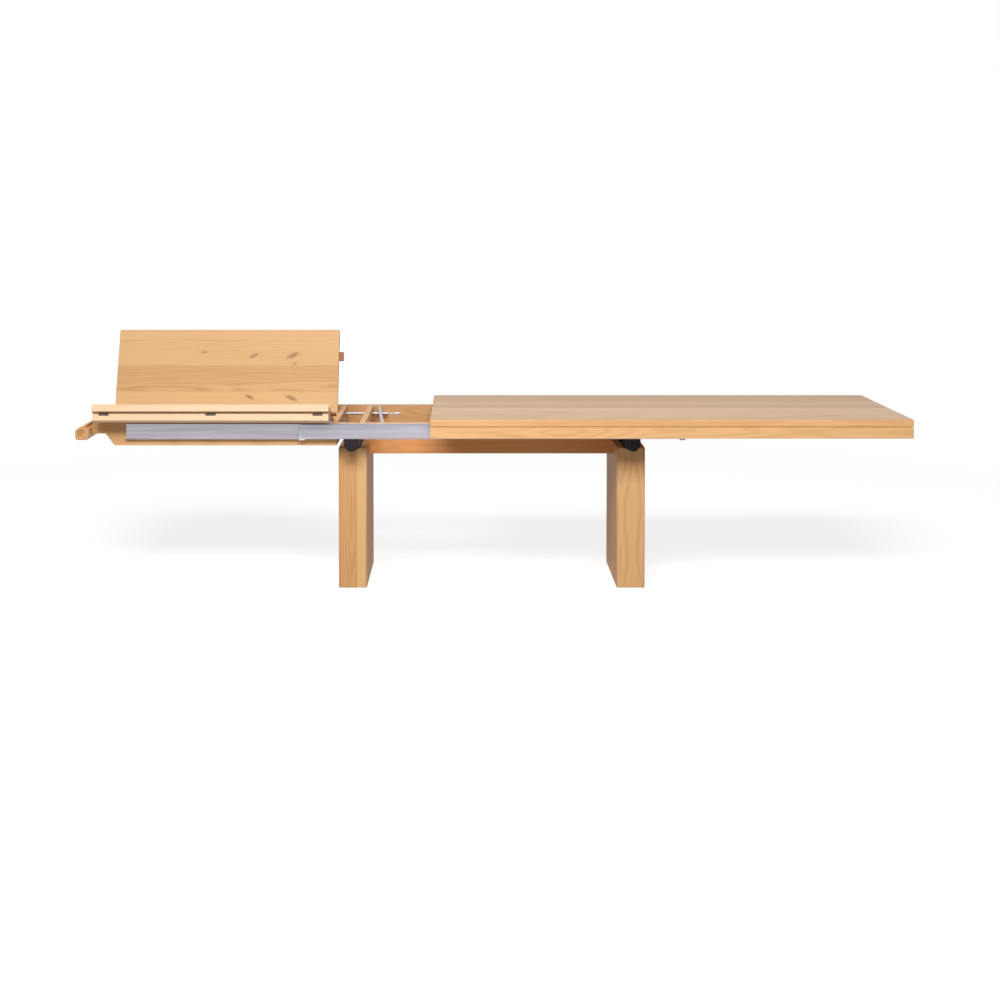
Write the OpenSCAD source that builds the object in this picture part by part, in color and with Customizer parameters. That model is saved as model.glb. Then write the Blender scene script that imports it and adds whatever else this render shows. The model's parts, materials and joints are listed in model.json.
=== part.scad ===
// Extendable dining table with a folding leaf, drawn out to its full length.
// Origin: on the floor, midway between the two slab legs.
// +X to the fixed end of the top, +Y to the back, +Z up. Units: millimetres.

/* [Table] */
// Height of the table top above the floor
table_h = 750; // [720:1:780]
// Width of the table, front to back
table_w = 900; // [860:10:1000]
// X of the right-hand end of the main top
top_x1 = 1750; // [1650:10:1800]
// X of the open left-hand end of the main top
top_x0 = -260; // [-300:5:-240]
// Thickness of the top and of the leaf
board_t = 29; // [24:1:34]
// Depth of the apron below the top
apron_h = 50; // [44:1:56]
// Thickness of the apron
apron_t = 28; // [22:1:32]
// Height of the shadow groove between top and apron
shadow_h = 4; // [2:0.5:6]
// Depth of the shadow groove
shadow_d = 4; // [2:0.5:8]

/* [Pedestal] */
// X from the middle to the inner face of a leg
leg_x0 = 535; // [500:5:560]
// Thickness of a slab leg
leg_t = 120; // [90:5:140]
// Depth of a slab leg, front to back
leg_w = 520; // [480:10:560]
// Height of the wooden leg above the floor
leg_h = 604; // [590:1:606]
// Radius on the legs' upright corners
leg_r = 8; // [3:1:14]
// Height of the glides under the legs
glide_h = 4; // [2:1:8]
// Width of the beam between the legs
beam_w = 44; // [36:2:60]
// Top of the beam above the floor
beam_z1 = 618; // [610:1:619]
// Depth of the beam
beam_h = 73; // [60:1:90]
// How far the beam is let into each leg
beam_let = 25; // [15:1:40]

/* [Steel bearers] */
// Width of the steel bearer on each leg
bearer_w = 60; // [50:2:70]
// Thickness of the bearer's flat bar
bearer_t = 8; // [5:1:10]
// Width of the bearer where its end tapers
bearer_tip_w = 24; // [16:2:36]
// Thickness of the upright at each end of a bearer
upright_t = 23; // [16:1:24]
// Radius of the bearer screws' shanks
screw_r = 3; // [2:0.5:4]

/* [Aluminium rails] */
// Length of the fixed rails
rail_l = 1620; // [1500:10:1660]
// Distance from the middle to the outer plate of a fixed rail
rail_y = 350; // [340:1:356]
// Thickness of the outer plate
plate_t = 8; // [7.5:0.5:9]
// Bottom of the outer plate above the floor
plate_z0 = 657; // [656.5:0.5:658]
// Top of the outer plate above the floor
plate_z1 = 716; // [714:0.5:716.5]
// Wall of the aluminium profiles
alu_t = 3; // [2.5:0.5:3]
// Free space between sliding faces
slide_gap = 0.3; // [0.2:0.1:0.5]
// Thickness of the plastic end caps
cap_t = 3; // [2:0.5:5]

/* [Carrier] */
// X of the carrier's left-hand end
carrier_x0 = -1692; // [-1694:1:-1690]
// X where the runners end under the top
runner_x1 = -205; // [-240:5:-180]
// Thickness of the wooden side rails
side_t = 28; // [22:1:32]
// Bottom of the side rails above the floor
side_z0 = 626; // [624:1:630]
// Bottom of the shallow part of the side rails
runner_z0 = 661; // [659:1:664]
// X of the left-hand end of the aluminium channels
channel_x0 = -1545; // [-1580:5:-1500]
// Thickness of the right-hand end rail
end_rail_t = 22; // [18:1:24]

/* [Leaf] */
// X of the leaf's left-hand edge
leaf_x0 = -1671; // [-1674:1:-1668]
// Length of the leaf
leaf_l = 989; // [986:1:989]
// Angle of the front half of the leaf as it stands
leaf_tilt = 20; // [16:1:24]
// How far the middle hinge drops into the carrier
hinge_drop = 93; // [80:1:94]
// Thickness of the folding apron strips
strip_t = 31; // [26:1:31]
// Depth of the strips when they hang
strip_h = 46; // [40:1:46]
// Width of each strip hinge
strip_hinge_w = 38; // [30:2:50]
// Radius of the strip hinges' pins
strip_pin_r = 2.5; // [2:0.5:3]
// Distance from a strip's hinge axis to its nearest two faces
strip_corner = 5.5; // [5:0.5:8]
// Radius of the leaf's pivot pins
pivot_r = 6; // [4:0.5:8]
// Radius of the middle hinge's barrels
barrel_r = 3; // [2.5:0.5:4]

/* [End flap] */
// Length of the end flap, front to back
flap_l = 770; // [600:10:780]
// Radius of the flap's hinge pins
flap_pin_r = 3; // [2:0.5:4]

/* [Synchronising gear] */
// Gear module
gear_m = 3; // [2.5:0.5:3]
// Teeth on the pinion, an even number
pinion_teeth = 18; // [18:2:18]
// Thickness of the racks
rack_h = 10; // [8:1:11]
// Bottom of the racks above the floor
rack_z0 = 634; // [634:1:635]
// Radius of the pinion's pin
gear_pin_r = 6; // [4:0.5:8]
// Play between the teeth
backlash = 0.3; // [0.2:0.05:0.5]

/* [Hidden] */
$fn = 48;
run_clear = 0.05;
touch = 0.02;
half_w = table_w / 2;
// Width and height of the table that the places above are given for: the legs, the gear,
// the rails, the leaf's pivot and the flap follow the top from there.
base_size = [900, 750];
spread = (table_w - base_size[0]) / 2;
rise = table_h - base_size[1];
leg_z1 = leg_h + rise;
beam_top = beam_z1 + rise;
rail_z0 = plate_z0 + rise;
rail_z1 = plate_z1 + rise;
deep_z0 = side_z0 + rise;
shallow_z0 = runner_z0 + rise;
teeth_z0 = rack_z0 + rise;
plate_y = rail_y + spread;
grip_l = flap_l + 2 * spread;
board_z0 = table_h - board_t;
apron_z0 = board_z0 - apron_h;
leg_mid = leg_x0 + leg_t / 2;
bearer_z1 = leg_z1 + bearer_t;
upright_y1 = plate_y + 6;
upright_y0 = upright_y1 - upright_t;
pad_z = rail_z0 - 5;

// Fixed rail: a guide body behind the outer plate runs inside the carrier's channel.
web_y = plate_y - 19;
lip_y = plate_y - 1;
channel_z0 = rail_z0 - 2;
channel_z1 = rail_z1 + 3;
guide_y0 = web_y + alu_t + slide_gap;
guide_z0 = channel_z0 + alu_t + slide_gap;
guide_z1 = channel_z1 - alu_t - slide_gap;
// Captive slot in the top of the outer plate, for the top's runner.
slot_mid = plate_y + plate_t / 2;
slot_neck = 3;
slot_w = 5;
slot_z0 = rail_z1 - 12;
slot_neck_z = rail_z1 - 5;
// The runner's flange and its screws share the free space out to the apron.
runner_flange_y = (slot_mid + half_w - apron_t) / 2;
plate_face_y = plate_y + plate_t;
runner_screw_y = plate_face_y + 0.3125 * (half_w - apron_t - plate_face_y);
runner_x0 = top_x0 + 10;
runner_short = 250;
runner_end = top_x1 - runner_short;
runner_screw_in = 60;

side_y1 = web_y;
side_y0 = side_y1 - side_t;
side_z1 = board_z0 - 1;
tongue_l = 58;
tongue_z0 = deep_z0 + 50;
slope_l = 38;
leaf_x1 = leaf_x0 + leaf_l;
end_gap = 3;
end_rail_x0 = leaf_x1 + end_gap;
end_rail_x1 = end_rail_x0 + end_rail_t;
notch_w = 120;
notch_z1 = teeth_z0 + rack_h + 8;
left_rail_x1 = leaf_x0 - end_gap;
cross_x0 = end_rail_x1 + 95;
cross_t = 25;
tie_w = 14;
tie_from = 90;
tie_skew = 45;

// The leaf's pivot: the middle hinge sinks straight down by hinge_drop.
pivot_y = -hinge_drop / 2 / tan(leaf_tilt / 2) - spread;
stand_tilt = 2 * atan(-hinge_drop / 2 / pivot_y);
pivot_z = table_h - hinge_drop / 2;
pivot_plate_t = 5;
pivot_plate_w = 22;
pivot_foot_l = 32;
pivot_foot_w = 34;
fold = 90;
// A strip's hinge axis sits strip_drop below the board; folded or hanging, it clears the
// board by shadow_h, and hanging it lies flush with the board's edge.
strip_drop = shadow_h + strip_corner;
strip_axis_y = half_w - strip_t + strip_corner;
strip_axis_z = board_z0 - strip_drop;
strip_lug_t = 8;
strip_x0 = leaf_x0 + 2;
strip_x1 = leaf_x1 - 2;
strip_hinge_in = 48;
strip_hinge_x = [for (i = [0:2]) leaf_x0 + strip_hinge_in + i * (leaf_l - 2 * strip_hinge_in) / 2];
leaf_split = 0.15;
tongue_out = 22;
tongue_w = 40;
tongue_t = 10;
tongue_at = 329 + spread;
mid_hinge_in = 120;
mid_hinge_x = [for (i = [0:2]) leaf_x0 + mid_hinge_in + i * (leaf_l - 2 * mid_hinge_in) / 2];
mid_hinge_w = 60;
knuckle_w = 20;
barrel_pin_r = 1.5;

flap_axis_x = carrier_x0 - 6;
flap_axis_z = side_z1 - 6;
flap_tilt = 45;
flap_reach = 52;
flap_core_back = 3;
flap_lug_in = 135;
flap_lug_y = [-grip_l / 2 + flap_lug_in, grip_l / 2 - flap_lug_in];
flap_lug_w = 20;

pitch_r = gear_m * pinion_teeth / 2;
addendum = 0.95 * gear_m;
dedendum = 1.25 * gear_m;
rack_pitch = PI * gear_m;
rack_y0 = pitch_r - addendum;
rack_y1 = pitch_r + dedendum + 7.5;
rack_over = 113;
rack_tab_h = 40;
carrier_rack_x = [end_rail_x1 - rack_over, 20];
top_rack_x = [-20, 990];
gear_seat_z = teeth_z0 - 1;

// ---- Helpers ----

// A box between two opposite corners
module box(lo, hi) {
    translate(lo) cube(hi - lo);
}

// A profile drawn in Y and Z, run along X
module along_x(x0, x1) {
    translate([x0, 0, 0]) rotate([90, 0, 90]) linear_extrude(x1 - x0) children();
}

// A profile drawn in X and Z, run along Y
module along_y(y0, y1) {
    translate([0, y1, 0]) rotate([90, 0, 0]) linear_extrude(y1 - y0) children();
}

// A rectangle between two corners
module rect(lo, hi) {
    translate(lo) square(hi - lo);
}

// A rectangle centred on the origin with rounded corners
module rounded_rect(x, y, r) {
    square([x - 2 * r, y], center = true);
    square([x, y - 2 * r], center = true);
    for (i = [-1, 1], j = [-1, 1]) translate([i * (x / 2 - r), j * (y / 2 - r)]) circle(r);
}

// The same piece on the front side of the table
module to_front() {
    mirror([0, 1, 0]) children();
}

// Both sides of the table
module both_sides() {
    children();
    to_front() children();
}

// Turns the leaf's front half about its pivot, from flat to how it stands
module stand_front() {
    translate([0, pivot_y, pivot_z]) rotate([-stand_tilt, 0, 0])
        translate([0, -pivot_y, -pivot_z]) children();
}

// Turns the leaf's back half with the front half and up about the middle hinge
module stand_back() {
    stand_front() translate([0, 0, table_h]) rotate([fold, 0, 0])
        translate([0, 0, -table_h]) children();
}

// ---- Pedestal ----

screw_l = 40;
screw_end_in = 40;
screw_end_y = leg_w / 2 - screw_end_in;
screw_inner_y = 90;
screw_ys = [-screw_end_y, -screw_inner_y, screw_inner_y, screw_end_y];

// One slab leg at +X; a notch in its inner top edge takes the beam
module leg() {
    difference() {
        translate([leg_mid, 0, glide_h]) linear_extrude(leg_z1 - glide_h)
            rounded_rect(leg_t, leg_w, leg_r);
        box([leg_x0 - 1, -beam_w / 2, beam_top - beam_h],
            [leg_x0 + beam_let, beam_w / 2, leg_z1 + 1]);
        for (y = screw_ys) translate([leg_mid, y, leg_z1 - screw_l - 5])
            cylinder(r = screw_r, h = screw_l + 10);
    }
}

// The beam that joins the legs
module beam() {
    color("saddlebrown")
        box([-leg_x0 - beam_let, -beam_w / 2, beam_top - beam_h],
            [leg_x0 + beam_let, beam_w / 2, beam_top]);
}

// Steel bearer across one leg: tapered flat bar with an upright at each end
module bearer() {
    w = bearer_w / 2;
    tip = bearer_tip_w / 2;
    taper_y = leg_w / 2 - 5;
    difference() {
        translate([leg_mid, 0, leg_z1]) linear_extrude(bearer_t)
            polygon([[-w, -taper_y], [-tip, -upright_y0], [tip, -upright_y0], [w, -taper_y],
                     [w, taper_y], [tip, upright_y0], [-tip, upright_y0], [-w, taper_y]]);
        for (y = screw_ys) translate([leg_mid, y, leg_z1 - 1])
            cylinder(r = screw_r + 0.3, h = bearer_t + 2);
    }
    both_sides() {
        along_y(upright_y0, upright_y1) translate([leg_mid, 0])
            polygon([[-tip, leg_z1], [tip, leg_z1], [w, leg_z1 + 22], [w, pad_z], [-w, pad_z],
                     [-w, leg_z1 + 22]]);
        box([leg_mid - w, plate_y, pad_z], [leg_mid + w, upright_y1, rail_z0]);
    }
}

// Cap screws that hold the bearers down to the legs
module bearer_screws() {
    color("dimgray") for (side = [-1, 1], y = screw_ys) translate([side * leg_mid, y, 0]) {
        translate([0, 0, leg_z1 - screw_l]) cylinder(r = screw_r - touch, h = screw_l + bearer_t);
        difference() {
            translate([0, 0, bearer_z1]) cylinder(r = 5.5, h = 5);
            translate([0, 0, bearer_z1 + 2]) cylinder(r = 2.9, h = 4, $fn = 6);
        }
    }
}

// Round plastic glides under the legs
module glides() {
    color("dimgray") for (side = [-1, 1], x = [-30, 30], y = [-1, 1])
        translate([side * leg_mid + x, y * (leg_w / 2 - 40), 0]) cylinder(r = 18, h = glide_h);
}

// Fixed aluminium rail: hollow guide body, outer plate and captive slot
module fixed_rail() {
    color("silver") along_x(-rail_l / 2, rail_l / 2) difference() {
        union() {
            rect([plate_y, rail_z0], [plate_y + plate_t, rail_z1]);
            rect([guide_y0, guide_z0], [plate_y, guide_z1]);
        }
        for (z = [guide_z0, (guide_z0 + guide_z1 - alu_t) / 2])
            rect([guide_y0 + alu_t, z + alu_t],
                 [plate_y - alu_t, z + (guide_z1 - guide_z0 - alu_t) / 2]);
        rect([slot_mid - slot_w / 2, slot_z0], [slot_mid + slot_w / 2, slot_neck_z]);
        rect([slot_mid - slot_neck / 2, slot_neck_z - 1], [slot_mid + slot_neck / 2, rail_z1 + 1]);
    }
}

// Plastic caps on the ends of the outer plates, each with a foot under the plate
module rail_caps() {
    color("white") for (side = [0, 1]) mirror([side, 0, 0]) both_sides() {
        box([rail_l / 2, plate_y, pad_z], [rail_l / 2 + cap_t, plate_y + plate_t, slot_z0]);
        box([rail_l / 2 - 20, plate_y, pad_z], [rail_l / 2, plate_y + plate_t, rail_z0]);
    }
}

// Stop screws near the ends of the outer plates
module stop_screws() {
    color("dimgray") for (side = [-1, 1]) both_sides()
        along_y(plate_y + plate_t, plate_y + plate_t + 3)
            translate([side * (rail_l / 2 - 8), (rail_z0 + rail_z1) / 2]) circle(5);
}

// Bracket on the beam, with the upright pin that the pinion turns on
module gear_bracket() {
    color("dimgray") {
        box([-40, -beam_w / 2 + 3, beam_top], [40, beam_w / 2 - 3, beam_top + 4]);
        translate([0, 0, beam_top]) cylinder(r = 14, h = gear_seat_z - beam_top);
        translate([0, 0, beam_top]) cylinder(r = gear_pin_r, h = notch_z1 - 2 - beam_top);
        for (x = [-30, 30]) translate([x, 0, beam_top + 4]) cylinder(r = 4, h = 3);
    }
}

// Clip that keeps the pinion on its pin
module gear_clip() {
    color("dimgray") translate([0, 0, teeth_z0 + rack_h + 1.3]) difference() {
        cylinder(r = gear_pin_r + 5, h = 2);
        translate([0, 0, -1]) cylinder(r = gear_pin_r + touch, h = 4);
    }
}

// ---- Main top ----

stiffener_x = [200, 745, 1290];
stiffener_w = 40;
stiffener_h = 12;
stiffener_y = 335 + spread;

// The main top: mortises in its left edge, grooves for the steel channels below
module top_board() {
    color("burlywood") difference() {
        box([top_x0, -half_w, board_z0], [top_x1, half_w, table_h]);
        for (y = [-tongue_at, tongue_at])
            box([top_x0 - 1, y - tongue_w / 2 - 1, board_z0 + board_t / 2 - tongue_t / 2 - 0.5],
                [top_x0 + tongue_out + 3, y + tongue_w / 2 + 1,
                 board_z0 + board_t / 2 + tongue_t / 2 + 0.5]);
        for (x = stiffener_x)
            box([x - stiffener_w / 2, -stiffener_y, board_z0 - 1],
                [x + stiffener_w / 2, stiffener_y, board_z0 + stiffener_h]);
    }
}

// Apron profile in Y and Z on the back side, with its shadow groove
module apron_profile() {
    difference() {
        rect([half_w - apron_t, apron_z0], [half_w, board_z0]);
        rect([half_w - shadow_d, board_z0 - shadow_h], [half_w + 1, board_z0 + 1]);
    }
}

// Long apron under the back edge, mitred at the right-hand end
module apron_long() {
    color("burlywood") difference() {
        along_x(top_x0, top_x1) apron_profile();
        translate([top_x1, half_w, apron_z0 - 1]) linear_extrude(apron_h + 2)
            polygon([[1, 1], [1, -apron_t - 2], [-apron_t, -apron_t]]);
    }
}

// Short apron under the right-hand end, mitred at both corners
module apron_end() {
    color("burlywood") difference() {
        box([top_x1 - apron_t, -half_w, apron_z0], [top_x1, half_w, board_z0]);
        box([top_x1 - shadow_d, -half_w - 1, board_z0 - shadow_h],
            [top_x1 + 1, half_w + 1, board_z0 + 1]);
        both_sides() translate([top_x1, half_w, apron_z0 - 1]) linear_extrude(apron_h + 2)
            polygon([[1, 1], [-apron_t - 1, 1], [-apron_t - 1, -apron_t - 1]]);
    }
}

// Glued blocks inside the two mitred corners
module corner_blocks() {
    leg = 26;
    color("tan") both_sides()
        translate([top_x1 - apron_t, half_w - apron_t, apron_z0 + 6])
            linear_extrude(board_z0 - apron_z0 - 6) polygon([[0, 0], [-leg, 0], [0, -leg]]);
}

// Steel channels let into the underside so that the top stays flat
module stiffeners() {
    wall = 2;
    color("dimgray") for (x = stiffener_x) difference() {
        box([x - stiffener_w / 2, -stiffener_y, board_z0],
            [x + stiffener_w / 2, stiffener_y, board_z0 + stiffener_h]);
        box([x - stiffener_w / 2 + wall, -stiffener_y - 1, board_z0 - 1],
            [x + stiffener_w / 2 - wall, stiffener_y + 1, board_z0 + stiffener_h - wall]);
    }
}

// Aluminium runner under the top: flange, neck and captive foot
module top_runner() {
    neck = slot_neck / 2 - slide_gap;
    foot = slot_w / 2 - slide_gap;
    color("silver") along_x(runner_x0, runner_end) {
        rect([slot_mid - neck, board_z0 - alu_t], [runner_flange_y, board_z0]);
        rect([slot_mid - neck, slot_z0 + slide_gap], [slot_mid + neck, board_z0]);
        rect([slot_mid - foot, slot_z0 + slide_gap], [slot_mid + foot, slot_neck_z - slide_gap]);
    }
}

// Screw heads under the runners' flanges
module runner_screws() {
    color("dimgray") for (i = [0:6]) both_sides()
        translate([runner_x0 + runner_screw_in
                   + i * (runner_end - runner_x0 - 2 * runner_screw_in) / 6,
                   runner_screw_y, board_z0 - alu_t - 3]) cylinder(r = 5, h = 3);
}

// ---- Synchronising gear ----

function involute(a) = tan(a) * 180 / PI - a;

// Half of a tooth's angle at radius r
function tooth_half(r) = let (base = pitch_r * cos(20))
    90 / pinion_teeth - backlash / 2 / pitch_r * 180 / PI + involute(20)
    - involute(acos(min(1, base / max(r, base))));

// Points on one tooth: up the right flank and down the left one
function tooth(a) = let (r0 = pitch_r - dedendum, r1 = pitch_r + addendum, n = 6)
    concat([for (i = [0:n]) let (r = r0 + (r1 - r0) * i / n)
                r * [cos(a - tooth_half(r)), sin(a - tooth_half(r))]],
           [for (i = [n:-1:0]) let (r = r0 + (r1 - r0) * i / n)
                r * [cos(a + tooth_half(r)), sin(a + tooth_half(r))]]);

module pinion() {
    color("dimgray") translate([0, 0, gear_seat_z]) difference() {
        linear_extrude(rack_h + 2)
            polygon([for (k = [0:pinion_teeth - 1]) each tooth(90 + k * 360 / pinion_teeth)]);
        translate([0, 0, -1]) cylinder(r = gear_pin_r + run_clear, h = rack_h + 4);
    }
}

// A straight rack on the back side, its teeth towards the pinion, with a gap at X = 0
module rack(x0, x1) {
    half = rack_pitch / 4 - backlash / 2;
    tip = half - addendum * tan(20);
    root = half + dedendum * tan(20);
    root_y = pitch_r + dedendum;
    k0 = ceil((x0 + root) / rack_pitch - 0.5);
    k1 = floor((x1 - root) / rack_pitch - 0.5);
    translate([0, 0, teeth_z0]) linear_extrude(rack_h)
        polygon(concat([[x0, rack_y1], [x0, root_y]],
                       [for (k = [k0:k1]) let (c = (k + 0.5) * rack_pitch)
                           each [[c - root, root_y], [c - tip, rack_y0],
                                 [c + tip, rack_y0], [c + root, root_y]]],
                       [[x1, root_y], [x1, rack_y1]]));
}

// Rack on the carrier, with a tab on the end rail and a block below the cross-member
module carrier_rack() {
    color("dimgray") {
        rack(carrier_rack_x[0], carrier_rack_x[1]);
        box([end_rail_x1, pitch_r + dedendum, teeth_z0],
            [end_rail_x1 + 15, rack_y1, notch_z1 + rack_tab_h]);
        box([cross_x0, pitch_r + dedendum, teeth_z0], [cross_x0 + cross_t, rack_y1, shallow_z0]);
    }
}

// Rack on the top, hung from its far end and from a hanger near the middle
module top_rack() {
    color("dimgray") to_front() {
        rack(top_rack_x[0], top_rack_x[1]);
        box([top_rack_x[1] - 30, pitch_r + dedendum, teeth_z0], [top_rack_x[1], rack_y1, board_z0]);
    }
}

// ---- Carrier ----

// Side rail: a thin tongue, a deep middle and a shallow runner under the top
module side_rail() {
    x0 = carrier_x0;
    color("peru") along_y(side_y0, side_y1) difference() {
        polygon([[x0, side_z1], [x0, tongue_z0], [x0 + tongue_l, tongue_z0],
                 [x0 + tongue_l + slope_l, deep_z0], [end_rail_x1, deep_z0],
                 [end_rail_x1, shallow_z0], [runner_x1, shallow_z0], [runner_x1, side_z1]]);
        translate([x0 - 1, tongue_z0 - 1]) polygon([[0, 0], [8, 0], [0, 8]]);
    }
}

// Aluminium channel on the outside of a side rail
module channel() {
    color("gainsboro") along_x(channel_x0, runner_x1) difference() {
        rect([web_y, channel_z0], [lip_y, channel_z1]);
        rect([web_y + alu_t, channel_z0 + alu_t], [lip_y + 1, channel_z1 - alu_t]);
    }
}

module pivot_hole(x0, x1, r) {
    along_x(x0, x1) translate([pivot_y, pivot_z]) circle(r);
}

// Left-hand end rail between the tongues, bored for the leaf's pin
module end_rail_left() {
    color("peru") difference() {
        box([carrier_x0, -side_y0, tongue_z0], [left_rail_x1, side_y0, side_z1]);
        pivot_hole(carrier_x0 - 1, left_rail_x1 + 1, pivot_r + touch);
    }
}

// Right-hand end rail, notched in the middle for the beam's gear
module end_rail_right() {
    color("peru") difference() {
        box([end_rail_x0, -side_y0, deep_z0], [end_rail_x1, side_y0, side_z1]);
        box([end_rail_x0 - 1, -notch_w / 2, deep_z0 - 1], [end_rail_x1 + 1, notch_w / 2, notch_z1]);
        pivot_hole(end_rail_x0 - 1, end_rail_x1 + 1, pivot_r + touch);
    }
}

// Cross-member between the runners
module cross_member() {
    color("burlywood")
        box([cross_x0, -side_y0, shallow_z0], [cross_x0 + cross_t, side_y0, side_z1]);
}

// Slim slanting tie between the runners
module tie_bar() {
    x = cross_x0 + tie_from;
    color("silver") translate([0, 0, side_z1 - 12]) linear_extrude(8)
        polygon([[x, -side_y0], [x + tie_w, -side_y0], [x + tie_w - tie_skew, side_y0],
                 [x - tie_skew, side_y0]]);
}

// Pins in the end rails, which the leaf turns on
module leaf_pins() {
    color("dimgray") {
        pivot_hole(carrier_x0, leaf_x0 + 7, pivot_r);
        pivot_hole(leaf_x1 - 7, end_rail_x1, pivot_r);
    }
}

// ---- Leaf ----

// One half of the leaf, flat, on the back side of the middle hinge
module half_board() {
    difference() {
        box([leaf_x0, leaf_split, board_z0], [leaf_x1, half_w, table_h]);
        box([leaf_x1 - tongue_out, tongue_at - tongue_w / 2, board_z0 + board_t / 2 - tongue_t / 2],
            [leaf_x1 + 1, tongue_at + tongue_w / 2, board_z0 + board_t / 2 + tongue_t / 2]);
        for (x = mid_hinge_x) {
            box([x - mid_hinge_w / 2, 0, table_h - 2], [x + mid_hinge_w / 2, 26, table_h + 1]);
            along_x(x - mid_hinge_w / 2, x + mid_hinge_w / 2)
                translate([0, table_h]) circle(barrel_r + 0.5);
        }
    }
}

// Wooden tongue let into the right-hand edge of a half
module leaf_tongue() {
    z = board_z0 + board_t / 2;
    box([leaf_x1 - tongue_out, tongue_at - tongue_w / 2, z - tongue_t / 2],
        [leaf_x1 + tongue_out, tongue_at + tongue_w / 2, z + tongue_t / 2]);
}

// Steel plates under the ends of the front half, bored for the pivot pins
module pivot_plates() {
    color("dimgray") stand_front() for (x0 = [leaf_x0, leaf_x1 - pivot_plate_t]) {
        foot_x = x0 == leaf_x0 ? x0 : x0 + pivot_plate_t - pivot_foot_l;
        difference() {
            union() {
                box([x0, pivot_y - pivot_plate_w, pivot_z],
                    [x0 + pivot_plate_t, pivot_y + pivot_plate_w, board_z0]);
                along_x(x0, x0 + pivot_plate_t) translate([pivot_y, pivot_z]) circle(13);
            }
            pivot_hole(x0 - 1, x0 + pivot_plate_t + 1, pivot_r + run_clear);
        }
        box([foot_x, pivot_y - pivot_foot_w, board_z0 - alu_t],
            [foot_x + pivot_foot_l, pivot_y + pivot_foot_w, board_z0]);
    }
}

// Lugs under a half's long edge, with the pins that a strip swings on
module strip_hinges() {
    lug = strip_lug_t / 2;
    for (x = strip_hinge_x) {
        box([x - strip_hinge_w / 2, strip_axis_y - lug, strip_axis_z],
            [x + strip_hinge_w / 2, strip_axis_y + lug, board_z0]);
        along_x(x - strip_hinge_w / 2, x + strip_hinge_w / 2)
            translate([strip_axis_y, strip_axis_z]) circle(lug);
        along_x(x - strip_hinge_w / 2 - 15, x + strip_hinge_w / 2 + 15)
            translate([strip_axis_y, strip_axis_z]) circle(strip_pin_r);
    }
}

// Inlaid plates and knuckles of the middle hinge; offsets place the knuckles along X
module mid_hinge(offsets, bore = 0) {
    for (x = mid_hinge_x) difference() {
        union() {
            box([x - mid_hinge_w / 2, barrel_r + 0.6, table_h - 2],
                [x + mid_hinge_w / 2, 26, table_h]);
            for (k = offsets) {
                x0 = x + k - knuckle_w / 2 + slide_gap;
                x1 = x + k + knuckle_w / 2 - slide_gap;
                along_x(x0, x1) translate([0, table_h]) circle(barrel_r);
                box([x0, 0, table_h - 2], [x1, barrel_r + 0.6, table_h]);
            }
        }
        if (bore > 0) along_x(x - mid_hinge_w, x + mid_hinge_w)
            translate([0, table_h]) circle(bore);
    }
}

// Pins of the middle hinge
module mid_pins() {
    for (x = mid_hinge_x) along_x(x - mid_hinge_w / 2, x + mid_hinge_w / 2)
        translate([0, table_h]) circle(barrel_pin_r);
}

// Folding apron strip as it lies folded under the leaf, on the back side
module strip() {
    y = strip_axis_y;
    z = strip_axis_z;
    far = strip_corner;
    slot = strip_hinge_w / 2 + 2;
    reach = strip_lug_t / 2 + 1;
    difference() {
        along_x(strip_x0, strip_x1) rect([y + far - strip_h, z + far - strip_t], [y + far, z + far]);
        for (x = strip_hinge_x) {
            box([x - slot, y - reach, z - reach], [x + slot, y + far + 1, z + far + 1]);
            along_x(x - slot - 17, x + slot + 17) translate([y, z]) circle(strip_pin_r + run_clear);
        }
    }
}

// ---- End flap ----

// Flap outline in X and Z, measured from its hinge axis
flap_outline = [[-10, 3], [-33, -4], [-flap_reach, -17], [-flap_reach, -46], [-47, -58],
                [-3, -58], [5.4, -40], [5.4, -12], [-8, -9]];
flap_inner = [[-31, -14], [-43, -24], [-43, -38], [-34, -45], [-14, -26], [-14, -17]];

module flap_at(y0, y1) {
    along_y(y0, y1) translate([flap_axis_x, flap_axis_z]) children();
}

// Outer part of the grip
module flap_shell() {
    color("burlywood") difference() {
        flap_at(-grip_l / 2, grip_l / 2) polygon(flap_outline);
        flap_at(-grip_l / 2 - 1, grip_l / 2 + 1) polygon(flap_inner);
    }
}

// Darker batten inside the grip, set back from both ends
module flap_core() {
    color("sienna") flap_at(-grip_l / 2 + flap_core_back, grip_l / 2 - flap_core_back)
        polygon(flap_inner);
}

// Hinge lugs and pins on the end rail
module flap_hinges() {
    color("dimgray") for (y = flap_lug_y) {
        flap_at(y - flap_lug_w / 2, y + flap_lug_w / 2) {
            circle(5);
            rect([0, -5], [carrier_x0 - flap_axis_x, 5]);
        }
        flap_at(y - flap_lug_w / 2 - 20, y + flap_lug_w / 2 + 20) circle(flap_pin_r);
    }
}

// Lugs on the flap, one each side of every rail lug
module flap_lugs() {
    color("dimgray") for (y = flap_lug_y, side = [-1, 1]) difference() {
        y0 = y + side * (flap_lug_w / 2 + 9);
        flap_at(y0 - 8, y0 + 8) {
            circle(5.5);
            polygon([[0, 5], [-10, 3], [-8, -9], [0, -5]]);
        }
        flap_at(y0 - 9, y0 + 9) circle(flap_pin_r + run_clear);
    }
}

// ---- Sub-parts, one line each ----

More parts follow.
